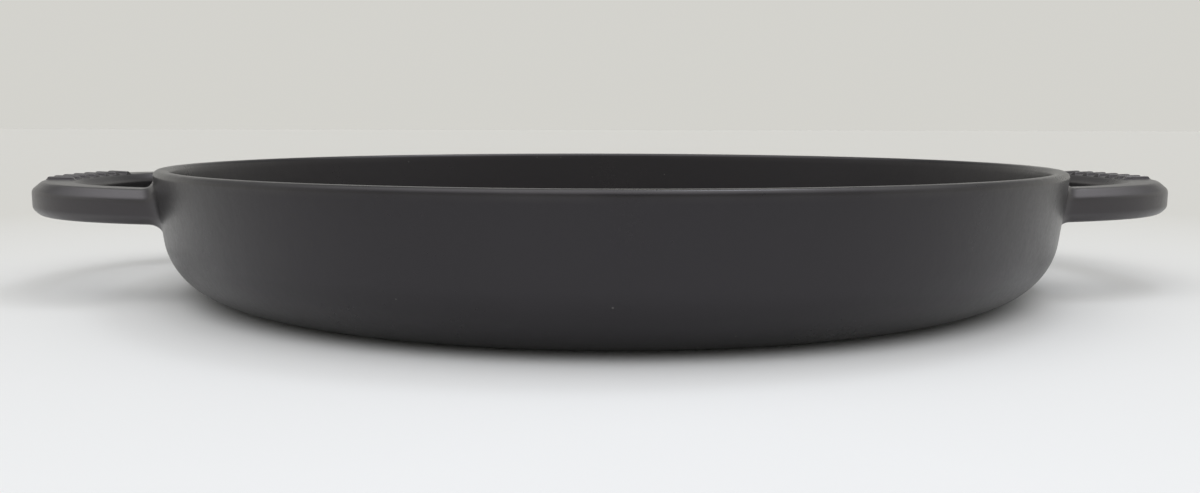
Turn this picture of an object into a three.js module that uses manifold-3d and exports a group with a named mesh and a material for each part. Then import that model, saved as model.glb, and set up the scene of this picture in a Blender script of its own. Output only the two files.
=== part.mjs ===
// A round cast-iron grill pan with two loop handles, in millimetres with +Z up.
// It stands on Z = 0 with its axis on Z, and its handles lie along X.

import * as THREE from 'three';
import { mergeVertices } from 'three/addons/utils/BufferGeometryUtils.js';
import Module from 'manifold-3d';

const { degToRad, lerp, smoothstep } = THREE.MathUtils;

// Bowl
const RIM_DIAMETER = 300; // across the outer edge of the rim
const BOWL_HEIGHT = 39.1; // table to the top of the rim
const WALL = 4.6; // thickness, square to the wall
const FLOOR = 4.6; // thickness of the cooking floor
const WALL_FLARE = degToRad(6.5); // outward lean of the wall
const HEEL_RADIUS = 20.5; // outside, base into wall
const INNER_HEEL_RADIUS = 16; // inside, floor into wall
const RIM_ROUND = 1.6; // both edges of the rim

// Grill ribs, which run along X on the cooking floor
const RIB_COUNT = 19;
const RIB_FOOT_WIDTH = 5.4;
const RIB_TOP_WIDTH = 2.4;
const RIB_HEIGHT = 4;
const RIB_SHOULDER_WIDTH = 4.2;
const RIB_SHOULDER_DROP = 0.9; // top of the rib down to its shoulder
const RIB_CHANNEL = 7; // bare floor between the ribs' ends and the inner heel
const RIB_OUTER_LENGTH = 66; // the first and the last rib

// Loop handles
const HANDLE_REACH = 41.5; // rim's outer edge to the end of the loop
const HANDLE_DROP = 4; // top of the rim down to the top of the loop's end
const HANDLE_RISE = degToRad(2); // upward slope of the loop, away from the bowl
const LOOP_WIDTH = 114; // across the loop's outer sides
const LOOP_DEPTH = 48.5; // end of the loop back to its straight sides
const LOOP_SQUARENESS = 2.5; // power of the outline, where 2 is an ellipse
const BAR_WIDTH = 14;
const BAR_HEIGHT = 10.6;
const BAR_INNER_BEVEL = 2.2; // both edges towards the finger gap
const BAR_LOWER_BEVEL = 2; // outer edge of the underside
const BAR_TOP_BEVEL_RUN = 3.1; // wide bevel of the outer top edge, measured across
const BAR_TOP_BEVEL_DROP = 2.8; // and measured down
const ROOT_OUTER_FILLET = 4.5; // outer side of the bar into the wall
const ROOT_INNER_FILLET = 3; // side towards the finger gap into the wall
const ROOT_TOP_FILLET = 5; // top of the bar into the wall
const ROOT_LOWER_FILLET = 1; // underside of the bar into the wall
const FLARE_START = 0.2; // share of half the section at which the root starts to flare
const FLARE_END = 0.7; // and at which it flares fully

// Grip ridges across the top of each loop's end
const RIDGE_COUNT = 7;
const RIDGE_PITCH = 8;
const RIDGE_WIDTH = 3;
const RIDGE_RELIEF = 0.9; // top of the ridge above the bar
const RIDGE_MARGIN = 0.3; // bare edge left on the bar's flat top
const RIDGE_BEVEL = 0.25;

// Clearance between a solid and the neighbour that it is shaped to
const SEAT_GAP = 0.3;

// Fineness of the round forms
const TURN_STEPS = 96;
const HEEL_STEPS = 7;
const RIM_STEPS = 3;
const BAR_STEPS = 24;
const FILLET_STEPS = 4;
const LINE_HALVINGS = 40;
const RIB_END_STEPS = 4;

const ENAMEL = { color: 0x2c2c30, roughness: 0.55, metalness: 0.1 };
const RIB_ENAMEL = { color: 0x262628, roughness: 0.6, metalness: 0.1 };

const wasm = await Module();
wasm.setup();

// Joining and cutting

function solidOf(geometry) {
  const bare = geometry.clone();
  bare.deleteAttribute('normal');
  bare.deleteAttribute('uv');
  const merged = mergeVertices(bare);
  return new wasm.Manifold(new wasm.Mesh({
    numProp: 3,
    vertProperties: new Float32Array(merged.attributes.position.array),
    triVerts: new Uint32Array(merged.index.array),
  }));
}

function geometryOf(solid) {
  const mesh = solid.getMesh();
  const geometry = new THREE.BufferGeometry();
  geometry.setAttribute('position', new THREE.BufferAttribute(mesh.vertProperties, 3));
  geometry.setIndex(new THREE.BufferAttribute(mesh.triVerts, 1));
  geometry.computeVertexNormals();
  return geometry;
}

// A closed solid through rings of points, with a flat cap on the first and the last ring. The rings
// have as many points each and run anticlockwise, seen from the last ring.
function loft(rings) {
  const count = rings[0].length;
  const last = (rings.length - 1) * count;
  const index = [];
  for (let start = 0; start < last; start += count) {
    for (let k = 0; k < count; k += 1) {
      const here = start + k;
      const next = start + ((k + 1) % count);
      index.push(here, next, next + count, here, next + count, here + count);
    }
  }
  for (let k = 1; k + 1 < count; k += 1) {
    index.push(0, k + 1, k, last, last + k, last + k + 1);
  }
  const geometry = new THREE.BufferGeometry();
  geometry.setFromPoints(rings.flat());
  geometry.setIndex(index);
  geometry.computeVertexNormals();
  return geometry;
}

function named(name, geometry, finish) {
  const mesh = new THREE.Mesh(geometry, new THREE.MeshStandardMaterial(finish));
  mesh.name = name;
  return mesh;
}

// Bowl, turned from half a section in [radius, height]

const rimRadius = RIM_DIAMETER / 2;
const rimArcHeight = BOWL_HEIGHT - RIM_ROUND;

// Radius of the wall's outer face at a height, or of a face that lies inset inside it.
function wallRadius(height, inset = 0) {
  const atRim = rimRadius - RIM_ROUND + (RIM_ROUND - inset) / Math.cos(WALL_FLARE);
  return atRim - (rimArcHeight - height) * Math.tan(WALL_FLARE);
}

// Centre of the arc that runs from a level face into the wall's face at that inset.
function heelCentre(radius, level, inset) {
  const height = level + radius;
  return new THREE.Vector2(wallRadius(height, inset) - radius / Math.cos(WALL_FLARE), height);
}

function arc(centre, radius, from, to, steps) {
  const curve = new THREE.EllipseCurve(centre.x, centre.y, radius, radius, from, to, to < from);
  return curve.getPoints(steps);
}

function turned(section) {
  return new THREE.LatheGeometry(section, TURN_STEPS).rotateX(Math.PI / 2);
}

const QUARTER = Math.PI / 2;
const outerHeel = heelCentre(HEEL_RADIUS, 0, 0);
const innerHeel = heelCentre(INNER_HEEL_RADIUS, FLOOR, WALL);

function bowlGeometry() {
  const outerRim = new THREE.Vector2(rimRadius - RIM_ROUND, rimArcHeight);
  const innerRim = new THREE.Vector2(
    wallRadius(rimArcHeight, WALL) + RIM_ROUND / Math.cos(WALL_FLARE),
    rimArcHeight,
  );
  return turned([
    new THREE.Vector2(0, 0),
    ...arc(outerHeel, HEEL_RADIUS, -QUARTER, -WALL_FLARE, HEEL_STEPS),
    ...arc(outerRim, RIM_ROUND, -WALL_FLARE, QUARTER, RIM_STEPS),
    ...arc(innerRim, RIM_ROUND, QUARTER, Math.PI - WALL_FLARE, RIM_STEPS),
    ...arc(innerHeel, INNER_HEEL_RADIUS, -WALL_FLARE, -QUARTER, HEEL_STEPS),
    new THREE.Vector2(0, FLOOR),
  ]);
}

// The bowl's outside as a filled solid, larger by the seat gap, which trims the handles' roots.
function rootCutter() {
  const top = BOWL_HEIGHT + BAR_HEIGHT;
  return turned([
    new THREE.Vector2(0, -SEAT_GAP),
    ...arc(outerHeel, HEEL_RADIUS + SEAT_GAP, -QUARTER, -WALL_FLARE, HEEL_STEPS),
    new THREE.Vector2(wallRadius(top, -SEAT_GAP), top),
    new THREE.Vector2(0, top),
  ]);
}

// Grill ribs

// One level of a rib: a bar with round ends, drawn anticlockwise from above.
function ribRing(straight, width, height) {
  const ends = [
    ...arc(new THREE.Vector2(straight / 2, 0), width / 2, -QUARTER, QUARTER, RIB_END_STEPS),
    ...arc(new THREE.Vector2(-straight / 2, 0), width / 2, QUARTER, 3 * QUARTER, RIB_END_STEPS),
  ];
  return ends.map((point) => new THREE.Vector3(point.x, point.y, height));
}

function ribGeometry(length) {
  const straight = length - RIB_FOOT_WIDTH;
  return loft([
    ribRing(straight, RIB_FOOT_WIDTH, 0),
    ribRing(straight, RIB_SHOULDER_WIDTH, RIB_HEIGHT - RIB_SHOULDER_DROP),
    ribRing(straight, RIB_TOP_WIDTH, RIB_HEIGHT),
  ]);
}

// Evenly spaced rows, from -Y to +Y, that end on the circle inside the channel.
function grillRibs() {
  const circle = innerHeel.x - RIB_CHANNEL;
  const lengthAt = (y) => 2 * Math.sqrt(circle ** 2 - (Math.abs(y) + RIB_FOOT_WIDTH / 2) ** 2);
  const outerY = Math.sqrt(circle ** 2 - (RIB_OUTER_LENGTH / 2) ** 2) - RIB_FOOT_WIDTH / 2;
  const pitch = (2 * outerY) / (RIB_COUNT - 1);
  const ribs = [];
  for (let number = 1; number <= RIB_COUNT; number += 1) {
    const y = (number - 1) * pitch - outerY;
    const name = `grill_rib_${String(number).padStart(2, '0')}`;
    const rib = named(name, ribGeometry(lengthAt(y)), RIB_ENAMEL);
    rib.position.set(0, y, FLOOR);
    ribs.push(rib);
  }
  return ribs;
}

// Loop handle, drawn on the +X side

const loopEnd = rimRadius + HANDLE_REACH;
const loopCentre = loopEnd - LOOP_DEPTH;

// The rounded end of the loop's outer outline, seen from above, from -Y to +Y.
class LoopEnd extends THREE.Curve {
  getPoint(t, target = new THREE.Vector2()) {
    const angle = (t - 0.5) * Math.PI;
    const power = 2 / LOOP_SQUARENESS;
    const out = Math.abs(Math.cos(angle)) ** power;
    const across = Math.sign(angle) * Math.abs(Math.sin(angle)) ** power;
    return target.set(loopCentre + LOOP_DEPTH * out, (LOOP_WIDTH / 2) * across);
  }
}

// The whole outline, with straight sides that start deep inside the bowl.
function loopOutline() {
  const side = LOOP_WIDTH / 2;
  const start = Math.sqrt(outerHeel.x ** 2 - side ** 2) - ROOT_OUTER_FILLET;
  const outline = new THREE.CurvePath();
  outline.add(new THREE.LineCurve(new THREE.Vector2(start, -side), new THREE.Vector2(loopCentre, -side)));
  outline.add(new LoopEnd());
  outline.add(new THREE.LineCurve(new THREE.Vector2(loopCentre, side), new THREE.Vector2(start, side)));
  return outline;
}

const outline = loopOutline();
const outlineLength = outline.getLength();

// A point of the handle: along the outline from the middle of the loop's end, inwards from the outer
// face and up from the underside, which slopes with the loop.
function onBar(along, inwards, up) {
  const t = 0.5 + along / outlineLength;
  const point = outline.getPoint(t);
  const tangent = outline.getTangent(t);
  const x = point.x - tangent.y * inwards;
  const y = point.y + tangent.x * inwards;
  const top = BOWL_HEIGHT - HANDLE_DROP - (loopEnd - x) * Math.tan(HANDLE_RISE);
  return new THREE.Vector3(x, y, top - BAR_HEIGHT + up);
}

// The bar's section as [inwards, up], anticlockwise from the outer edge of the underside.
const BAR_SECTION = [
  [BAR_LOWER_BEVEL, 0],
  [BAR_WIDTH - BAR_INNER_BEVEL, 0],
  [BAR_WIDTH, BAR_INNER_BEVEL],
  [BAR_WIDTH, BAR_HEIGHT - BAR_INNER_BEVEL],
  [BAR_WIDTH - BAR_INNER_BEVEL, BAR_HEIGHT],
  [BAR_TOP_BEVEL_RUN, BAR_HEIGHT],
  [0, BAR_HEIGHT - BAR_TOP_BEVEL_DROP],
  [0, BAR_LOWER_BEVEL],
];

// How far along the bar its line at that place of the section comes within a gap of the wall.
function alongAtGap(gap, inwards, up) {
  let clear = 0;
  let inside = outlineLength / 2;
  for (let halving = 0; halving < LINE_HALVINGS; halving += 1) {
    const along = (clear + inside) / 2;
    const point = onBar(along, inwards, up);
    if (Math.hypot(point.x, point.y) - wallRadius(point.z) > gap) {
      clear = along;
    } else {
      inside = along;
    }
  }
  return clear;
}

// How the root flares at a place of the section: the fillet's radius there, and how far the fillet
// carries the place inwards and up.
function rootFlare(inwards, up) {
  const across = inwards / (BAR_WIDTH / 2) - 1;
  const above = up / (BAR_HEIGHT / 2) - 1;
  const side = across < 0 ? ROOT_OUTER_FILLET : ROOT_INNER_FILLET;
  const level = above < 0 ? ROOT_LOWER_FILLET : ROOT_TOP_FILLET;
  const sideShare = smoothstep(Math.abs(across), FLARE_START, FLARE_END);
  const levelShare = smoothstep(Math.abs(above), FLARE_START, FLARE_END);
  return {
    fillet: lerp(level, side, sideShare),
    flareIn: Math.sign(across) * sideShare * side,
    flareUp: Math.sign(above) * levelShare * level,
  };
}

function pointAtGap(gap, inwards, up) {
  return onBar(alongAtGap(gap, inwards, up), inwards, up);
}

// A line of the bar from the middle of the loop's end, which flares round the root fillet and ends
// inside the wall.
function barLine([inwards, up]) {
  const { fillet, flareIn, flareUp } = rootFlare(inwards, up);
  const start = alongAtGap(fillet, inwards, up);
  const points = [];
  for (let step = 0; step < BAR_STEPS; step += 1) {
    points.push(onBar((start * step) / BAR_STEPS, inwards, up));
  }
  for (let step = 0; step <= FILLET_STEPS; step += 1) {
    const angle = (QUARTER * step) / FILLET_STEPS;
    const share = 1 - Math.cos(angle);
    const gap = fillet * (1 - Math.sin(angle));
    points.push(pointAtGap(gap, inwards + flareIn * share, up + flareUp * share));
  }
  points.push(pointAtGap(-WALL, inwards + flareIn, up + flareUp));
  return points;
}

// Both halves of the loop, the second the mirror image of the first, trimmed to the wall.
function barGeometry() {
  const lines = BAR_SECTION.map(barLine);
  const half = lines[0].map((_, stop) => lines.map((line) => line[stop]));
  const mirror = (point) => new THREE.Vector3(point.x, -point.y, point.z);
  const otherHalf = half.slice(1).map((ring) => ring.map(mirror));
  const rings = [...otherHalf.reverse(), ...half];
  return geometryOf(solidOf(loft(rings)).subtract(solidOf(rootCutter())));
}

// A low bar across the loop's flat top, bevelled on its upper edges.
function ridgeGeometry(middle) {
  const outer = BAR_TOP_BEVEL_RUN + RIDGE_MARGIN;
  const inner = BAR_WIDTH - BAR_INNER_BEVEL - RIDGE_MARGIN;
  const foot = BAR_HEIGHT + SEAT_GAP;
  const top = BAR_HEIGHT + RIDGE_RELIEF;
  const ring = (along, drop) => [
    onBar(along, outer, foot),
    onBar(along, inner, foot),
    onBar(along, inner, top - RIDGE_BEVEL),
    onBar(along, inner - RIDGE_BEVEL, top - drop),
    onBar(along, outer + RIDGE_BEVEL, top - drop),
    onBar(along, outer, top - RIDGE_BEVEL),
  ];
  const half = RIDGE_WIDTH / 2;
  return loft([
    ring(middle - half, RIDGE_BEVEL),
    ring(middle - half + RIDGE_BEVEL, 0),
    ring(middle + half - RIDGE_BEVEL, 0),
    ring(middle + half, RIDGE_BEVEL),
  ]);
}

function loopHandle(side, turn) {
  const handle = new THREE.Group();
  handle.rotation.z = turn;
  handle.add(named(`${side}_handle`, barGeometry(), ENAMEL));
  for (let number = 1; number <= RIDGE_COUNT; number += 1) {
    const middle = (number - (RIDGE_COUNT + 1) / 2) * RIDGE_PITCH;
    handle.add(named(`${side}_grip_ridge_${number}`, ridgeGeometry(middle), ENAMEL));
  }
  return handle;
}

const grillPan = new THREE.Group();
grillPan.add(named('pan_body', bowlGeometry(), ENAMEL));
grillPan.add(...grillRibs());
grillPan.add(loopHandle('right', 0));
grillPan.add(loopHandle('left', Math.PI));

export default grillPan;
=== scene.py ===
"""Dress a round cast-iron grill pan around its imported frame: fine surfaces, black enamel and a pale stage.

Every length is in metres, in the frame's own axes. The pan stands on Z = 0 with its axis on Z, and its
two loop handles lie along X.
"""

import math

import bmesh
import bpy
import numpy as np
from bpy.props import FloatProperty, FloatVectorProperty, IntProperty, PointerProperty
from mathutils import Matrix, Vector


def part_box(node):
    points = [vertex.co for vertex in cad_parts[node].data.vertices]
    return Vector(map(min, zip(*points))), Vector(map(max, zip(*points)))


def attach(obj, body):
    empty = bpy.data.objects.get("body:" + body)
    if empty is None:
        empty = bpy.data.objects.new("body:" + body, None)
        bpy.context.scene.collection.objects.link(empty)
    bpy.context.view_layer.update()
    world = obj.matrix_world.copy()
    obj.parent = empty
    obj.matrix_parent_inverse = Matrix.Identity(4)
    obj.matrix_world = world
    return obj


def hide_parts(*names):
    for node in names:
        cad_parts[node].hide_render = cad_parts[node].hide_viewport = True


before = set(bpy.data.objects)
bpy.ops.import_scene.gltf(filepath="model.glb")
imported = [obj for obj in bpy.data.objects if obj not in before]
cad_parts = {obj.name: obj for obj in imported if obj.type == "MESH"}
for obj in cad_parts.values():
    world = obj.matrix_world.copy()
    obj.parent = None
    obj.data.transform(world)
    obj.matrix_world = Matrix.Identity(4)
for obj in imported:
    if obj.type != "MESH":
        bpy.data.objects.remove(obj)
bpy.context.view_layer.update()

bl_info = {
    "name": "Cast Iron Grill Pan",
    "version": (1, 0, 0),
    "blender": (4, 5, 0),
    "location": "View3D > Sidebar > Grill Pan",
    "description": "Builds an enamelled cast-iron grill pan around its packed frame",
    "category": "Add Mesh",
}

# What the frame gives

BODY = "root"
BOWL_NODE = "pan_body"
RIB_NODES = sorted(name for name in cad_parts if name.startswith("grill_rib_"))
RIDGE_NODES = sorted(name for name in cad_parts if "_grip_ridge_" in name)
BOWL_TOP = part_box(BOWL_NODE)[1]
LOOP_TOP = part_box("right_handle")[1]

# Fixed names and numbers

SIDES = {"left": -1.0, "right": 1.0}
QUARTER = math.pi / 2
WEAR_LAYER = "wear"         # how far each point of a mesh is rubbed
ROOT_LAYER = "root"         # how far each point of a handle is into its root
RAISED_STEPS = 5            # facets of a raised bar's foot fillet, and of its crown
BESIDE_CORNER = 1.15        # where a straight run starts beside a softened corner, in cuts
FLOOR_DROP = 0.00005        # floor below the base, so that the two faces don't meet


# Settings

def length(name, description, default):
    """A setting in metres."""
    return FloatProperty(
        name=name,
        description=description,
        default=default,
        min=0.0,
        precision=5,
        subtype="DISTANCE",
        unit="LENGTH",
    )


def turn(name, description, degrees):
    """A setting that is an angle, written in degrees and kept in radians."""
    return FloatProperty(
        name=name,
        description=description,
        default=math.radians(degrees),
        subtype="ANGLE",
        unit="ROTATION",
    )


def number(name, description, default):
    """A setting with no unit."""
    return FloatProperty(name=name, description=description, default=default, min=0.0)


def count(name, description, default):
    """A setting that is a number of facets or rings."""
    return IntProperty(name=name, description=description, default=default, min=2)


def colour(name, description, default):
    """A setting that is a linear colour."""
    return FloatVectorProperty(
        name=name,
        description=description,
        default=default,
        min=0.0,
        max=1.0,
        size=3,
        subtype="COLOR",
    )


class BowlSettings(bpy.types.PropertyGroup):
    """Sizes of the turned bowl."""

    rim_radius: length("Rim radius", "Axis to the outer edge of the rim", BOWL_TOP.x)
    height: length("Height", "Base to the top of the rim", BOWL_TOP.z)
    wall: length("Wall", "Thickness of the wall, square to it", 0.0046)
    floor: length("Floor", "Thickness of the cooking floor", 0.0046)
    flare: turn("Flare", "Outward lean of the wall", 6.5)
    heel_radius: length("Heel radius", "Outside, from the base into the wall", 0.0205)
    inner_heel_radius: length("Inner heel radius", "Inside, from the floor into the wall", 0.016)
    rim_round: length("Rim round", "Radius of both edges of the rim", 0.0016)
    rim_wear: number("Rim wear", "How far the rim is rubbed, from 0 to 1", 0.4)
    turn_steps: count("Turn steps", "Facets round the axis", 288)
    heel_steps: count("Heel steps", "Facets of each heel arc", 22)
    rim_steps: count("Rim steps", "Facets of each rim edge", 7)


class RibSettings(bpy.types.PropertyGroup):
    """Sizes of the bars on the cooking floor that the frame doesn't give."""

    foot_width: length("Foot width", "Across a rib, above its foot fillet", 0.0054)
    foot_fillet: length("Foot fillet", "Floor into the flank", 0.0009)
    draft: length("Draft", "How far each flank leans in", 0.0005)
    crown: length("Crown", "Radius of the upper edges", 0.0012)
    end_steps: count("End steps", "Facets of each round end", 10)


class HandleSettings(bpy.types.PropertyGroup):
    """Sizes of the loop handles."""

    reach: length("Reach", "Axis to the end of the loop", LOOP_TOP.x)
    drop: length("Drop", "Top of the rim down to the top of the loop's end", 0.004)
    rise: turn("Rise", "Upward slope of the loop, away from the bowl", 2.0)
    loop_width: length("Loop width", "Across the loop's outer sides", 0.114)
    loop_depth: length("Loop depth", "End of the loop back to its straight sides", 0.0485)
    squareness: number("Squareness", "Power of the outline, where 2 is an ellipse", 2.5)
    bar_width: length("Bar width", "Across the bar", 0.014)
    bar_height: length("Bar height", "Underside to the flat top", 0.0106)
    inner_bevel: length("Inner bevel", "Both edges towards the finger gap", 0.0022)
    lower_bevel: length("Lower bevel", "Outer edge of the underside", 0.002)
    top_bevel_run: length("Top bevel run", "Wide bevel of the outer top edge, across", 0.0031)
    top_bevel_drop: length("Top bevel drop", "Wide bevel of the outer top edge, down", 0.0028)
    edge_cut: length("Edge softness", "How far each edge is rounded back", 0.001)
    shoulder: length("Shoulder", "Outer side of the bar into the wall, near its top", 0.0040)
    outer_fillet: length("Outer fillet", "Outer side of the bar into the wall, near its underside", 0.0034)
    inner_fillet: length("Inner fillet", "Side towards the finger gap into the wall", 0.003)
    top_fillet: length("Top fillet", "Top of the bar into the wall and rim", 0.0042)
    lower_fillet: length("Lower fillet", "Underside of the bar into the wall", 0.0022)
    root_sink: length("Root sink", "How deep the fillet's edge runs under the wall", 0.00003)
    bar_steps: count("Bar steps", "Rings along half of the loop", 60)
    fillet_steps: count("Fillet steps", "Rings round the root fillet", 10)
    edge_steps: count("Edge steps", "Facets of each softened edge", 4)


class RidgeSettings(bpy.types.PropertyGroup):
    """Sizes of the short raised bars on top of each loop's end."""

    pitch: length("Pitch", "One ridge to the next, along the loop", 0.008)
    width: length("Width", "Along the loop", 0.003)
    relief: length("Relief", "Top of a ridge above the bar", 0.0009)
    margin: length("Margin", "Bare edge left on the bar's flat top", 0.0003)
    corner: length("Corner", "Rounding of the corners, seen from above", 0.0005)
    foot_fillet: length("Foot fillet", "Bar into the flank", 0.0002)
    draft: length("Draft", "How far each flank leans in", 0.00015)
    crown: length("Crown", "Radius of the upper edges", 0.0006)
    corner_steps: count("Corner steps", "Facets of each corner", 5)


class FinishSettings(bpy.types.PropertyGroup):
    """Colours and gloss of the enamel, and the sizes of its marks."""

    bowl: colour("Bowl", "Enamel of the bowl", (0.0080, 0.0077, 0.0083))
    ribs: colour("Ribs", "Enamel of the grill ribs", (0.0075, 0.0073, 0.0075))
    # Painted light: the handles' enamel is a lighter copy of the bowl's enamel, standing in for the light
    # that the handles catch.
    handles: colour("Handles", "Enamel of the handles and ridges", (0.0180, 0.0173, 0.0176))
    worn: colour("Worn", "Enamel rubbed along the edges", (0.0520, 0.0510, 0.0490))
    speck: colour("Speck", "Tiny light specks", (0.0900, 0.0880, 0.0830))
    sheen: colour("Sheen", "Tint of what the enamel mirrors", (0.985, 0.935, 1.0))
    bowl_roughness: number("Bowl roughness", "Roughness of the bowl's enamel", 0.31)
    rib_roughness: number("Rib roughness", "Roughness of the ribs' enamel", 0.42)
    handle_roughness: number("Handle roughness", "Roughness of the handles' enamel", 0.31)
    bowl_shine: number("Bowl shine", "Specular level of the bowl's enamel", 0.48)
    rib_shine: number("Rib shine", "Specular level of the ribs' enamel", 0.40)
    handle_shine: number("Handle shine", "Specular level of the handles' enamel", 0.78)
    patch_size: length("Patch size", "Soft lighter and darker patches", 0.035)
    patch_gain: number("Patch gain", "Lightest patches against the enamel's own colour", 1.4)
    peel_size: length("Peel size", "Gentle waves of the enamel's skin", 0.0042)
    peel_depth: length("Peel depth", "Height of the waves", 0.0004)
    grain_size: length("Grain size", "Fine grain of the iron under the enamel", 0.0011)
    grain_depth: length("Grain depth", "Height of the grain", 0.00015)
    speck_spacing: length("Speck spacing", "One place where a speck may lie to the next", 0.004)
    speck_radius: length("Speck radius", "Middle of a speck to its edge", 0.0003)
    speck_share: number("Speck share", "Share of those places that have a speck", 0.05)


class StageSettings(bpy.types.PropertyGroup):
    """Floor, light and camera."""

    floor_size: length("Floor size", "Side of the square floor", 60.0)
    # Painted pool of light: the floor is lighter and cooler in front of the pan, where the front light
    # falls, and turns to the far colour further off.
    floor_near_painted_light: colour("Near floor", "Floor in front of the pan", (0.835, 0.845, 0.860))
    floor_far: colour("Far floor", "Floor further off", (0.624, 0.617, 0.586))
    painted_pool_place: length("Fade place", "Middle of the near floor, in front of the axis", 0.24)
    fade_start: length("Fade start", "Distance at which the floor's colour starts to turn", 0.05)
    fade_end: length("Fade end", "Distance at which it has turned", 0.60)
    # Painted light: seen by the camera or in a reflection, the floor glows with this share of its own
    # colour, which pales the shadows on it. The glow fades in between these two distances from the axis.
    painted_floor_glow: number("Floor lift", "Share of the floor's colour that shadows on it keep", 0.21)
    painted_glow_start: length("Lift start", "Axis to where shadows start to keep it", 0.133)
    painted_glow_end: length("Lift end", "Axis to where they keep the whole share", 0.156)
    floor_roughness: number("Floor roughness", "Roughness of the floor", 0.6)
    floor_shine: number("Floor shine", "Specular level of the floor", 0.15)
    horizon: colour("Horizon", "Light from the sides", (0.655, 0.648, 0.612))
    ceiling: colour("Ceiling", "Light from above the sides", (0.22, 0.22, 0.22))
    ceiling_start: number("Ceiling start", "Sine of the angle up at which the sides start to dim", 0.25)
    ceiling_end: number("Ceiling end", "Sine of the angle up at which they have dimmed", 0.5)
    panel: number("Panel", "Brightness of the soft panel overhead", 1.93)
    panel_lean: turn("Panel lean", "Middle of the panel in front of the zenith", 4.0)
    panel_width: turn("Panel width", "Half the panel, from left to right", 85.0)
    panel_depth: turn("Panel depth", "Half the panel, from front to back", 52.0)
    panel_core: number("Panel core", "Share of the panel that is evenly bright", 0.45)
    lamp_turn: turn("Lamp turn", "Back lamp's place round the pan, from +Y towards +X", 35.0)
    lamp_height: turn("Lamp height", "Back lamp above the horizon", 63.0)
    lamp_size: turn("Lamp size", "How wide the back lamp looks from the pan", 14.0)
    lamp_strength: number("Lamp strength", "Light on a face square to the back lamp", 0.30)
    lamp_colour: colour("Lamp colour", "Tint of the back lamp", (0.90, 0.94, 1.0))
    camera_distance: length("Camera distance", "Axis to the camera, seen from above", 0.35675)
    camera_height: length("Camera height", "Floor to the camera", 0.05183)
    camera_turn: turn("Camera turn", "Camera's place round the pan, from -Y towards -X", 3.444)
    camera_pan: turn("Camera pan", "View turned past the axis, to the left", 0.539)
    camera_tilt: turn("Camera tilt", "View below the horizon", 6.818)
    camera_roll: turn("Camera roll", "Camera turned about its view", 0.124)
    camera_lens: number("Camera lens", "Focal length in millimetres on a 36 mm sensor", 29.66)


class GrillPanSettings(bpy.types.PropertyGroup):
    """All settings of the grill pan."""

    bowl: PointerProperty(type=BowlSettings)
    ribs: PointerProperty(type=RibSettings)
    handles: PointerProperty(type=HandleSettings)
    ridges: PointerProperty(type=RidgeSettings)
    finish: PointerProperty(type=FinishSettings)
    stage: PointerProperty(type=StageSettings)


# Meshes

def skinned(rings, wear, root=None):
    """A closed shell through rings of as many points each, with one face across either end.

    Wear has one number for each point of each ring, and root has one for each ring.
    """
    shell = bmesh.new()
    worn = shell.verts.layers.float.new(WEAR_LAYER)
    rooted = shell.verts.layers.float.new(ROOT_LAYER)
    loops = []
    for place, ring in enumerate(rings):
        loop = [shell.verts.new(point) for point in ring]
        for vertex, share in zip(loop, wear[place]):
            vertex[worn] = share
            vertex[rooted] = root[place] if root else 0.0
        loops.append(loop)
    for here, there in zip(loops, loops[1:]):
        for k in range(len(here)):
            shell.faces.new((here[k - 1], here[k], there[k], there[k - 1]))
    shell.faces.new(loops[0])
    shell.faces.new(loops[-1])
    bmesh.ops.recalc_face_normals(shell, faces=shell.faces)
    if shell.calc_volume(signed=True) < 0:
        bmesh.ops.reverse_faces(shell, faces=shell.faces)
    return shell


def linked(name, data):
    """A new object of that data, in the scene."""
    made = bpy.data.objects.new(name, data)
    bpy.context.scene.collection.objects.link(made)
    return made


def dress(name, shell, finish, node):
    """Make a smooth piece of the shell, which stands for one node of the frame."""
    mesh = bpy.data.meshes.new(name)
    shell.to_mesh(mesh)
    shell.free()
    mesh.shade_smooth()
    mesh.materials.append(finish)
    piece = linked(name, mesh)
    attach(piece, BODY)
    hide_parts(node)


def arc(centre, radius, start, end, steps):
    """Points of an arc in a plane, as rows."""
    angles = np.linspace(start, end, steps + 1)
    return np.array(centre) + radius * np.column_stack([np.cos(angles), np.sin(angles)])


def eased(value, start, end):
    """A value's stretch from start to end as a smooth step from 0 to 1."""
    share = ((value - start) / (end - start)).clip(0.0, 1.0)
    return share * share * (3 - 2 * share)


def half_turned(points, side):
    """Points as they are, or turned half round the axis where the side is negative."""
    return points * np.array([side, side, 1.0])


def softened(corners, cut, steps):
    """A closed outline whose corners are rounded back by a cut, as points and the wear of each.

    A point beside each rounding keeps the straight runs flat in the shading.
    """
    corners = np.array(corners, float)
    rounding = np.linspace(0.0, 1.0, steps + 1)
    points = []
    wear = []
    for k, corner in enumerate(corners):
        to_last = corners[k - 1] - corner
        to_next = corners[(k + 1) % len(corners)] - corner
        to_last *= cut / np.linalg.norm(to_last)
        to_next *= cut / np.linalg.norm(to_next)
        points.append(corner + to_last * BESIDE_CORNER)
        wear.append(0.0)
        for t in rounding:
            points.append(corner + to_last * (1 - t) ** 2 + to_next * t ** 2)
            wear.append(4 * t * (1 - t))
        points.append(corner + to_next * BESIDE_CORNER)
        wear.append(0.0)
    return np.array(points), np.array(wear)


def raised_levels(height, bar):
    """Level, inset and wear up the side of a raised bar, from just under the face it stands on."""
    angles = [QUARTER * step / RAISED_STEPS for step in range(RAISED_STEPS + 1)]
    levels = [(-bar.foot_fillet, -bar.foot_fillet, 0.0)]
    for angle in angles:
        level = bar.foot_fillet * (1 - math.cos(angle))
        levels.append((level, bar.foot_fillet * (math.sin(angle) - 1), 0.0))
    for angle in angles:
        level = height - bar.crown * (1 - math.sin(angle))
        levels.append((level, bar.draft + bar.crown * (1 - math.cos(angle)), angle / QUARTER))
    return levels


# Bowl

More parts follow.
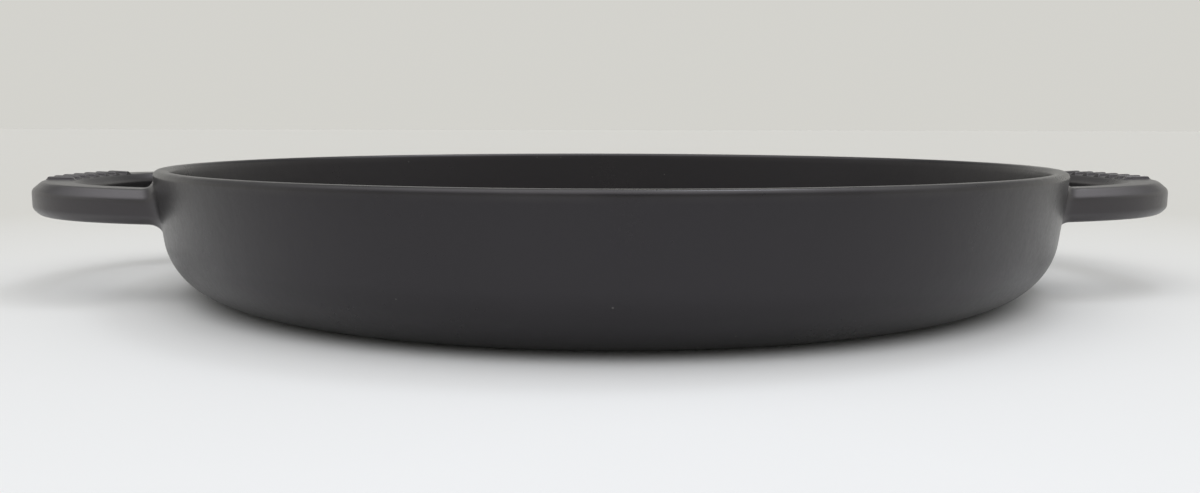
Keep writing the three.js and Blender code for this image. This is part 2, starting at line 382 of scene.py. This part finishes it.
class BowlForm:
    """The turned form of the bowl."""

    def __init__(self, sizes):
        self.sizes = sizes
        self.rim_arc_height = sizes.height - sizes.rim_round
        self.outer_heel = self.heel_centre(sizes.heel_radius, 0.0, 0.0)
        self.inner_heel = self.heel_centre(sizes.inner_heel_radius, sizes.floor, sizes.wall)

    def wall_radius(self, height, inset=0.0):
        """Radius of the wall's outer face at a height, or of a face that lies inset inside it."""
        sizes = self.sizes
        at_rim = sizes.rim_radius - sizes.rim_round
        at_rim += (sizes.rim_round - inset) / math.cos(sizes.flare)
        return at_rim - (self.rim_arc_height - height) * math.tan(sizes.flare)

    def outer_radius(self, height):
        """Radius of the outside at a height: the wall's face, and the rim's rounded edge above it."""
        sizes = self.sizes
        above = ((height - self.rim_arc_height) / sizes.rim_round).clip(0.0, 1.0)
        rounded = sizes.rim_radius - sizes.rim_round * (1 - np.sqrt(1 - above * above))
        return np.minimum(self.wall_radius(height), rounded)

    def heel_centre(self, radius, level, inset):
        """Centre of the arc that runs from a level face into the wall's face at that inset."""
        height = level + radius
        return self.wall_radius(height, inset) - radius / math.cos(self.sizes.flare), height

    def profile(self):
        """Half the section as radius and height, from the base over the rim to the floor, and its wear."""
        sizes = self.sizes
        edge = sizes.rim_round
        flare = sizes.flare
        inner_face = self.wall_radius(self.rim_arc_height, sizes.wall)
        outer_rim = (sizes.rim_radius - edge, self.rim_arc_height)
        inner_rim = (inner_face + edge / math.cos(flare), self.rim_arc_height)
        below_rim = self.rim_arc_height - edge
        outside = [
            [(self.outer_heel[0] - sizes.wall, 0.0)],
            arc(self.outer_heel, sizes.heel_radius, -QUARTER, -flare, sizes.heel_steps),
            [(self.wall_radius(below_rim), below_rim)],
        ]
        rim = [
            arc(outer_rim, edge, -flare, QUARTER, sizes.rim_steps),
            arc(inner_rim, edge, QUARTER, math.pi - flare, sizes.rim_steps),
        ]
        inside = [
            [(self.wall_radius(below_rim, sizes.wall), below_rim)],
            arc(self.inner_heel, sizes.inner_heel_radius, -flare, -QUARTER, sizes.heel_steps),
            [(self.inner_heel[0] - sizes.wall, sizes.floor)],
        ]
        stretches = [np.vstack(stretch) for stretch in (outside, rim, inside)]
        shares = (0.0, sizes.rim_wear, 0.0)
        wear = [np.full(len(rows), share) for rows, share in zip(stretches, shares)]
        return np.vstack(stretches), np.concatenate(wear)

    def shell(self):
        """The bowl as a closed shell."""
        profile, wear = self.profile()
        steps = self.sizes.turn_steps
        angles = np.arange(steps) * 2 * math.pi / steps
        around = np.column_stack([np.cos(angles), np.sin(angles)])
        rings = []
        for radius, height in profile:
            rings.append(np.column_stack([around * radius, np.full(steps, height)]))
        return skinned(rings, [np.full(steps, share) for share in wear])


# Grill ribs

def rib_shell(node, ribs):
    """One rib with round ends, a fillet at its foot and a rounded crown, in its node's box."""
    low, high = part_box(node)
    middle = (low + high) / 2
    half_straight = (high.x - low.x - ribs.foot_width) / 2
    rings = []
    wear = []
    for level, inset, share in raised_levels(high.z - low.z, ribs):
        half_width = ribs.foot_width / 2 - inset
        ends = []
        for way, start in ((half_straight, -QUARTER), (-half_straight, QUARTER)):
            centre = (middle.x + way, middle.y)
            ends.append(arc(centre, half_width, start, start + math.pi, ribs.end_steps))
        outline = np.vstack(ends)
        rings.append(np.column_stack([outline, np.full(len(outline), low.z + level)]))
        wear.append(np.full(len(outline), share))
    return skinned(rings, wear)


# Loop handles

class LoopForm:
    """The bar of a loop handle on the +X side, followed from the middle of its end to the wall."""

    OUTLINE_POINTS = 2000       # along half the outer outline, apart from its straight side
    HALVINGS = 45               # of the stretch where a line along the bar meets the wall
    SIDE_SPAN = (0.2, 0.7)      # where a side begins, from 0 at the section's middle to 1 at its edge
    BURIED_FLARE = 1.1          # of the rings under the wall, against the fillet's edge
    SEAM_SINKS = 3              # depth of the first of them, in root sinks
    END_SHARE = 1 / 3           # depth of the last of them, in walls

    def __init__(self, bowl, sizes):
        self.bowl = bowl
        self.sizes = sizes
        self.follow_outline()

    def follow_outline(self):
        """Points of half the outer outline, the way inwards at each, and the length run so far."""
        sizes = self.sizes
        power = sizes.squareness
        side = sizes.loop_width / 2
        angles = np.linspace(0.0, QUARTER, self.OUTLINE_POINTS)
        out = np.cos(angles).clip(0.0) ** (2 / power)
        across = np.sin(angles) ** (2 / power)
        end = np.column_stack([sizes.reach - sizes.loop_depth * (1 - out), side * across])
        inwards = -np.column_stack([
            out ** (power - 1) / sizes.loop_depth,
            across ** (power - 1) / side,
        ])
        inwards /= np.linalg.norm(inwards, axis=1)[:, None]
        straight = np.array([[self.bowl.outer_heel[0] / 2, side]])
        self.outline = np.vstack([end, straight])
        self.inwards = np.vstack([inwards, inwards[-1:]])
        steps = np.linalg.norm(np.diff(self.outline, axis=0), axis=1)
        self.run = np.concatenate([[0.0], np.cumsum(steps)])

    def on_bar(self, along, inwards, up):
        """Points by the way along the outline, inwards from the outer face and up from the underside."""
        sizes = self.sizes
        along, inwards, up = np.broadcast_arrays(along, inwards, up)
        run = np.abs(along)
        flat = []
        for axis in range(2):
            edge = np.interp(run, self.run, self.outline[:, axis])
            flat.append(edge + np.interp(run, self.run, self.inwards[:, axis]) * inwards)
        x, y = flat
        top = self.bowl.sizes.height - sizes.drop - (sizes.reach - x) * math.tan(sizes.rise)
        return np.column_stack([x, np.copysign(y, along), top - sizes.bar_height + up])

    def along_at_gap(self, gap, inwards, up):
        """How far along the bar each line at that place of the section comes within a gap of the wall."""
        clear = np.zeros(len(inwards))
        inside = np.full(len(inwards), self.run[-1])
        for _ in range(self.HALVINGS):
            along = (clear + inside) / 2
            points = self.on_bar(along, inwards, up)
            far = np.hypot(points[:, 0], points[:, 1]) - self.bowl.outer_radius(points[:, 2]) > gap
            clear = np.where(far, along, clear)
            inside = np.where(far, inside, along)
        return clear

    def section(self):
        """The bar's section as inwards and up, and the wear of each point."""
        sizes = self.sizes
        width = sizes.bar_width
        top = sizes.bar_height
        corners = [
            (sizes.lower_bevel, 0.0),
            (width - sizes.inner_bevel, 0.0),
            (width, sizes.inner_bevel),
            (width, top - sizes.inner_bevel),
            (width - sizes.inner_bevel, top),
            (sizes.top_bevel_run, top),
            (0.0, top - sizes.top_bevel_drop),
            (0.0, sizes.lower_bevel),
        ]
        return softened(corners, sizes.edge_cut, sizes.edge_steps)

    def half_rings(self):
        """Rings from the middle of the loop's end, round the root fillet and into the wall.

        With them come the wear of their points and how far each ring is into the root. A ring just
        under the wall keeps the fillet's edge as flat as the wall in the shading.
        """
        sizes = self.sizes
        points, wear = self.section()
        inwards, up = points.T
        fillet, flare = self.root_fillet(points)
        start = self.along_at_gap(fillet, inwards, up)
        rings = []
        shares = []
        root = []
        for step in range(sizes.bar_steps):
            rings.append(self.on_bar(start * step / sizes.bar_steps, inwards, up))
            shares.append(wear)
            root.append(0.0)
        for step in range(sizes.fillet_steps + 1):
            done = step / sizes.fillet_steps
            gap = fillet * (1 - math.sin(QUARTER * done)) - sizes.root_sink * done
            rings.append(self.root_ring(points + flare * (1 - math.cos(QUARTER * done)), gap))
            shares.append(wear * (1 - done))
            root.append(done)
        for depth in (sizes.root_sink * self.SEAM_SINKS, self.bowl.sizes.wall * self.END_SHARE):
            rings.append(self.root_ring(points + flare * self.BURIED_FLARE, -depth))
            shares.append(np.zeros(len(wear)))
            root.append(1.0)
        return rings, shares, root

    def root_fillet(self, points):
        """Radius of the root fillet at each point of the section, and how far the root flares there."""
        sizes = self.sizes
        middle = np.array([sizes.bar_width, sizes.bar_height]) / 2
        place = points / middle - 1
        weight = eased(np.abs(place), *self.SIDE_SPAN)
        upper = eased(points[:, 1], 0.0, sizes.bar_height)
        outer = sizes.outer_fillet + (sizes.shoulder - sizes.outer_fillet) * upper
        side = np.where(place[:, 0] < 0, outer, sizes.inner_fillet)
        level = np.where(place[:, 1] < 0, sizes.lower_fillet, sizes.top_fillet)
        fillet = level + (side - level) * weight[:, 0]
        return fillet, np.sign(place) * weight * np.column_stack([side, level])

    def root_ring(self, places, gap):
        """A ring through those places of the section, where the bar comes within a gap of the wall."""
        inwards, up = places.T
        return self.on_bar(self.along_at_gap(gap, inwards, up), inwards, up)

    def shell(self, side):
        """The whole loop as a closed shell, on the side that the sign says."""
        half, shares, into_root = self.half_rings()
        mirror = np.array([1.0, -1.0, 1.0])
        rings = [ring * mirror for ring in reversed(half[1:])] + half
        wear = shares[:0:-1] + shares
        root = into_root[:0:-1] + into_root
        return skinned([half_turned(ring, side) for ring in rings], wear, root)

    def ridge_shell(self, ridges, middle, side):
        """One raised bar across the flat top of the loop's end."""
        sizes = self.sizes
        outer = sizes.top_bevel_run + ridges.margin
        inner = sizes.bar_width - sizes.inner_bevel - ridges.margin
        half = ridges.width / 2
        rings = []
        wear = []
        for level, inset, share in raised_levels(ridges.relief, ridges):
            first, last = middle - half + inset, middle + half - inset
            near, far = outer + inset, inner - inset
            corners = [(first, near), (last, near), (last, far), (first, far)]
            plan, _ = softened(corners, ridges.corner, ridges.corner_steps)
            ring = self.on_bar(plan[:, 0], plan[:, 1], sizes.bar_height + level)
            rings.append(half_turned(ring, side))
            wear.append(np.full(len(ring), share))
        return skinned(rings, wear)


# Shader nodes

MIX_LOW, MIX_HIGH, MIX_RESULT = 6, 7, 2     # a mix node's sockets for colours
BLACK = (0.0, 0.0, 0.0)


def add_node(tree, kind, sockets=None, **fields):
    """Add a node. A socket takes a plain value, or another node's output that is linked to it."""
    made = tree.nodes.new(kind)
    for field, value in fields.items():
        setattr(made, field, value)
    for socket, value in (sockets or {}).items():
        if isinstance(value, bpy.types.NodeSocket):
            tree.links.new(value, made.inputs[socket])
        else:
            made.inputs[socket].default_value = value
    return made


def new_finish(name):
    """A new material, its node tree and its shader."""
    material = bpy.data.materials.new(name)
    material.use_nodes = True
    tree = material.node_tree
    return material, tree, tree.nodes["Principled BSDF"]


def surface_place(tree):
    """Where a point of the surface lies, in the frame's axes."""
    return add_node(tree, "ShaderNodeTexCoord").outputs["Object"]


def marked(tree, layer):
    """What a layer of the mesh says of the surface."""
    return add_node(tree, "ShaderNodeAttribute", attribute_name=layer).outputs["Fac"]


def mixed(tree, share, low, high):
    """A colour between two, where each may be a colour or a linked output."""
    sockets = {"Factor": share}
    for socket, value in ((MIX_LOW, low), (MIX_HIGH, high)):
        is_output = isinstance(value, bpy.types.NodeSocket)
        sockets[socket] = value if is_output else (*value, 1.0)
    return add_node(tree, "ShaderNodeMix", sockets, data_type="RGBA").outputs[MIX_RESULT]


def worked(tree, operation, first, second):
    """What an operation makes of two numbers."""
    return add_node(tree, "ShaderNodeMath", {0: first, 1: second}, operation=operation).outputs[0]


def measured(tree, operation, *places):
    """How far a place lies from the origin, or from another place."""
    sockets = dict(enumerate(places))
    return add_node(tree, "ShaderNodeVectorMath", sockets, operation=operation).outputs["Value"]


def ranged(tree, value, span, spread=(0.0, 1.0)):
    """A value's stretch over a span, spread evenly between two numbers."""
    sockets = {
        "Value": value,
        "From Min": span[0],
        "From Max": span[1],
        "To Min": spread[0],
        "To Max": spread[1],
    }
    return add_node(tree, "ShaderNodeMapRange", sockets).outputs[0]


def noise(tree, place, size, detail, roughness=0.5):
    """Soft noise whose features are about that size."""
    sockets = {"Vector": place, "Scale": 1 / size, "Detail": detail, "Roughness": roughness}
    return add_node(tree, "ShaderNodeTexNoise", sockets).outputs[0]


def bumped(tree, height, strength, depth, under=None):
    """The way that a surface with that height faces, on top of another such surface if there is one."""
    sockets = {"Strength": strength, "Distance": depth, "Height": height}
    if under is not None:
        sockets["Normal"] = under
    return add_node(tree, "ShaderNodeBump", sockets).outputs[0]


# Enamel

FINE_DETAIL = 3.0               # octaves of the patches and the grain
SOFT_DETAIL = 2.0               # octaves of the waves
GRAIN_ROUGHNESS = 0.6           # weight of the grain's finer octaves
NOISE_SPAN = (0.3, 0.7)         # between which most noise lies
RUB_SPAN = (0.35, 0.65)         # patches over which rubbing goes from faint to strong
RUB_SHARES = (0.15, 0.7)        # colour that rubbing takes off there
PATCH_SWING = (-0.03, 0.04)     # roughness that the patches add, from dark to light
GRAIN_SWING = (-0.03, 0.03)     # roughness that the grain adds
PEEL_BUMP = 0.14                # strength of the bump that the waves make
GRAIN_BUMP = 0.10               # strength of the bump that the grain makes
SPECK_CORE = 0.7                # full part of a speck's radius


def specks(tree, place, finish):
    """Sparse round specks: 1 inside one and 0 outside, with only a share of them kept."""
    cells = add_node(tree, "ShaderNodeTexVoronoi", {"Vector": place, "Scale": 1 / finish.speck_spacing})
    reach = finish.speck_radius / finish.speck_spacing
    inside = ranged(tree, cells.outputs["Distance"], (reach * SPECK_CORE, reach), (1.0, 0.0))
    draw = add_node(tree, "ShaderNodeSeparateColor", {0: cells.outputs["Color"]}).outputs[0]
    return worked(tree, "MULTIPLY", inside, worked(tree, "LESS_THAN", draw, finish.speck_share))


def enamel(name, tone, roughness, shine, finish):
    """Satin black enamel on fine-grained iron: soft patches, rubbed edges, specks and a fine grain."""
    material, tree, shader = new_finish(name)
    place = surface_place(tree)
    patches = noise(tree, place, finish.patch_size, FINE_DETAIL)
    grain = noise(tree, place, finish.grain_size, FINE_DETAIL, GRAIN_ROUGHNESS)
    peel = noise(tree, place, finish.peel_size, SOFT_DETAIL)
    rubbing = ranged(tree, patches, RUB_SPAN, RUB_SHARES)
    rubbed = worked(tree, "MULTIPLY", marked(tree, WEAR_LAYER), rubbing)

    greyer = [channel * finish.patch_gain for channel in tone]
    base = mixed(tree, ranged(tree, patches, NOISE_SPAN), tone, greyer)
    # Painted light: the handles' lighter copy of the enamel fades back to the bowl's own colour towards the
    # root.
    base = mixed(tree, marked(tree, ROOT_LAYER), base, finish.bowl)
    base = mixed(tree, rubbed, base, finish.worn)
    base = mixed(tree, specks(tree, place, finish), base, finish.speck)
    tree.links.new(base, shader.inputs["Base Color"])
    shader.inputs["Specular IOR Level"].default_value = shine
    shader.inputs["Specular Tint"].default_value = (*finish.sheen, 1.0)

    patch_gloss = ranged(tree, patches, NOISE_SPAN, [roughness + swing for swing in PATCH_SWING])
    grain_gloss = ranged(tree, grain, NOISE_SPAN, GRAIN_SWING)
    tree.links.new(worked(tree, "ADD", patch_gloss, grain_gloss), shader.inputs["Roughness"])

    skin = bumped(tree, peel, PEEL_BUMP, finish.peel_depth)
    skin = bumped(tree, grain, GRAIN_BUMP, finish.grain_depth, skin)
    tree.links.new(skin, shader.inputs["Normal"])
    return material


# Stage

def floor_finish(stage):
    """Pale, lighter and cooler in front of the pan as a painted pool of light, turning softly to another
    colour further off.

    Where the camera or a reflection sees it, the floor glows with a share of that colour. This is painted
    light that makes the shadows on it paler, apart from the dark contact close under the heel.
    """
    material, tree, shader = new_finish("pale_floor")
    place = surface_place(tree)
    # Painted pool of light: a lighter, cooler floor in front of the pan, turning to the far colour further
    # off.
    distance = measured(tree, "DISTANCE", place, (0.0, -stage.painted_pool_place, 0.0))
    fade = ranged(tree, distance, (stage.fade_start, stage.fade_end))
    pale = mixed(tree, fade, stage.floor_near_painted_light, stage.floor_far)
    # Painted light: the floor glows with a share of its own colour for camera and reflection rays, paling
    # the shadows on it, except close under the pan.
    path = add_node(tree, "ShaderNodeLightPath").outputs
    seen = worked(tree, "MAXIMUM", path["Is Camera Ray"], path["Is Glossy Ray"])
    radius = measured(tree, "LENGTH", place)
    share = ranged(tree, radius, (stage.painted_glow_start, stage.painted_glow_end), (0.0, stage.painted_floor_glow))
    painted_glow = worked(tree, "MULTIPLY", seen, share)
    tree.links.new(mixed(tree, painted_glow, pale, BLACK), shader.inputs["Base Color"])
    tree.links.new(pale, shader.inputs["Emission Color"])
    tree.links.new(painted_glow, shader.inputs["Emission Strength"])
    shader.inputs["Roughness"].default_value = stage.floor_roughness
    shader.inputs["Specular IOR Level"].default_value = stage.floor_shine
    return material


def lay_floor(stage):
    """A wide pale floor, a hair under the pan."""
    half = stage.floor_size / 2
    corners = [(-half, -half), (half, -half), (half, half), (-half, half)]
    mesh = bpy.data.meshes.new("floor")
    mesh.from_pydata([(x, y, -FLOOR_DROP) for x, y in corners], [], [(0, 1, 2, 3)])
    mesh.materials.append(floor_finish(stage))
    linked("floor", mesh)


def light_world(scene, stage):
    """Pale light from the sides, a dimmer ceiling and one wide soft panel overhead."""
    world = bpy.data.worlds.new("studio")
    world.use_nodes = True
    tree = world.node_tree
    way = add_node(tree, "ShaderNodeTexCoord").outputs["Generated"]
    up = add_node(tree, "ShaderNodeSeparateXYZ", {0: way}).outputs["Z"]
    above = ranged(tree, up, (stage.ceiling_start, stage.ceiling_end))
    across = 1 / math.sin(stage.panel_width)
    along = 1 / math.sin(stage.panel_depth)
    sockets = {0: way, 1: (across, along, 0.0), 2: (0.0, along * math.sin(stage.panel_lean), 0.0)}
    spread = add_node(tree, "ShaderNodeVectorMath", sockets, operation="MULTIPLY_ADD").outputs[0]
    lit = ranged(tree, measured(tree, "LENGTH", spread), (1.0, stage.panel_core))
    light = mixed(tree, above, stage.horizon, stage.ceiling)
    light = mixed(tree, lit, light, (stage.panel, stage.panel, stage.panel))
    tree.links.new(light, tree.nodes["Background"].inputs["Color"])
    scene.world = world


def hang_lamp(stage):
    """A far soft lamp behind the pan, which throws the handles' shadows forward."""
    lamp = bpy.data.lights.new("back_lamp", "SUN")
    lamp.energy = stage.lamp_strength
    lamp.color = stage.lamp_colour
    lamp.angle = stage.lamp_size
    hung = linked("back_lamp", lamp)
    hung.location = (
        math.sin(stage.lamp_turn) * math.cos(stage.lamp_height),
        math.cos(stage.lamp_turn) * math.cos(stage.lamp_height),
        math.sin(stage.lamp_height),
    )
    hung.rotation_euler = hung.location.to_track_quat("Z", "Y").to_euler()


def set_camera(stage):
    """The camera low in front of the pan, a little higher than its rim."""
    lens = bpy.data.cameras.new("camera")
    lens.sensor_fit = "HORIZONTAL"
    lens.lens = stage.camera_lens
    camera = linked("camera", lens)
    place = Vector((
        -stage.camera_distance * math.sin(stage.camera_turn),
        -stage.camera_distance * math.cos(stage.camera_turn),
        stage.camera_height,
    ))
    heading = stage.camera_turn - stage.camera_pan
    camera.matrix_world = (
        Matrix.Translation(place)
        @ Matrix.Rotation(-heading, 4, "Z")
        @ Matrix.Rotation(QUARTER - stage.camera_tilt, 4, "X")
        @ Matrix.Rotation(stage.camera_roll, 4, "Z")
    )
    return camera


# Operators

class GRILLPAN_OT_bowl(bpy.types.Operator):
    """Turn the bowl: base, heel, leaning wall, rounded rim and cooking floor"""

    bl_idname = "grill_pan.bowl"
    bl_label = "Bowl"

    def execute(self, context):
        pan = context.scene.grill_pan
        look = pan.finish
        finish = enamel("bowl_enamel", look.bowl, look.bowl_roughness, look.bowl_shine, look)
        dress("bowl", BowlForm(pan.bowl).shell(), finish, BOWL_NODE)
        return {"FINISHED"}


class GRILLPAN_OT_ribs(bpy.types.Operator):
    """Lay the grill ribs on the cooking floor"""

    bl_idname = "grill_pan.ribs"
    bl_label = "Grill Ribs"

    def execute(self, context):
        if not RIB_NODES:
            raise RuntimeError("the frame has no grill ribs")
        pan = context.scene.grill_pan
        look = pan.finish
        finish = enamel("rib_enamel", look.ribs, look.rib_roughness, look.rib_shine, look)
        for node in RIB_NODES:
            dress(node.removeprefix("grill_"), rib_shell(node, pan.ribs), finish, node)
        return {"FINISHED"}


class GRILLPAN_OT_handles(bpy.types.Operator):
    """Bend the two loop handles and run their roots into the wall"""

    bl_idname = "grill_pan.handles"
    bl_label = "Loop Handles"

    def execute(self, context):
        pan = context.scene.grill_pan
        look = pan.finish
        loop = LoopForm(BowlForm(pan.bowl), pan.handles)
        # Painted light: the handles and ridges get the lighter copy of the enamel here.
        finish = enamel("handle_enamel", look.handles, look.handle_roughness, look.handle_shine, look)
        for side, sign in SIDES.items():
            dress(f"{side}_loop", loop.shell(sign), finish, f"{side}_handle")
        return {"FINISHED"}


class GRILLPAN_OT_ridges(bpy.types.Operator):
    """Raise the grip ridges on top of each loop's end"""

    bl_idname = "grill_pan.ridges"
    bl_label = "Grip Ridges"

    def execute(self, context):
        pan = context.scene.grill_pan
        loop = LoopForm(BowlForm(pan.bowl), pan.handles)
        carrier = bpy.data.objects.get("left_loop")
        if carrier is None or not RIDGE_NODES:
            raise RuntimeError("the grip ridges need the loop handles first, and nodes to stand for")
        for side, sign in SIDES.items():
            nodes = [node for node in RIDGE_NODES if node.startswith(side)]
            for place, node in enumerate(nodes):
                middle = (place - (len(nodes) - 1) / 2) * pan.ridges.pitch
                shell = loop.ridge_shell(pan.ridges, middle, sign)
                dress(node.replace("_grip", ""), shell, carrier.active_material, node)
        return {"FINISHED"}


class GRILLPAN_OT_stage(bpy.types.Operator):
    """Lay the floor and set the light and the camera"""

    bl_idname = "grill_pan.stage"
    bl_label = "Stage"

    def execute(self, context):
        stage = context.scene.grill_pan.stage
        lay_floor(stage)
        light_world(context.scene, stage)
        hang_lamp(stage)
        context.scene.camera = set_camera(stage)
        context.scene.view_settings.view_transform = "Standard"
        return {"FINISHED"}


# Panel and registration

OPERATORS = (
    GRILLPAN_OT_bowl,
    GRILLPAN_OT_ribs,
    GRILLPAN_OT_handles,
    GRILLPAN_OT_ridges,
    GRILLPAN_OT_stage,
)


class GRILLPAN_PT_sidebar(bpy.types.Panel):
    """Lists the pieces of the grill pan and their settings"""

    bl_idname = "GRILLPAN_PT_sidebar"
    bl_label = "Grill Pan"
    bl_space_type = "VIEW_3D"
    bl_region_type = "UI"
    bl_category = "Grill Pan"

    def draw(self, context):
        for operator in OPERATORS:
            self.layout.operator(operator.bl_idname)
        pan = context.scene.grill_pan
        for group in (pan.bowl, pan.ribs, pan.handles, pan.ridges, pan.finish, pan.stage):
            box = self.layout.box()
            for name in group.__annotations__:
                box.prop(group, name)


CLASSES = (
    BowlSettings,
    RibSettings,
    HandleSettings,
    RidgeSettings,
    FinishSettings,
    StageSettings,
    GrillPanSettings,
    *OPERATORS,
    GRILLPAN_PT_sidebar,
)


def register():
    for part in CLASSES:
        bpy.utils.register_class(part)
    bpy.types.Scene.grill_pan = PointerProperty(type=GrillPanSettings)


def unregister():
    del bpy.types.Scene.grill_pan
    for part in reversed(CLASSES):
        bpy.utils.unregister_class(part)


def main():
    """Build the pan and its stage."""
    register()
    bpy.ops.grill_pan.bowl()
    bpy.ops.grill_pan.ribs()
    bpy.ops.grill_pan.handles()
    bpy.ops.grill_pan.ridges()
    bpy.ops.grill_pan.stage()


if __name__ == "__main__":
    main()
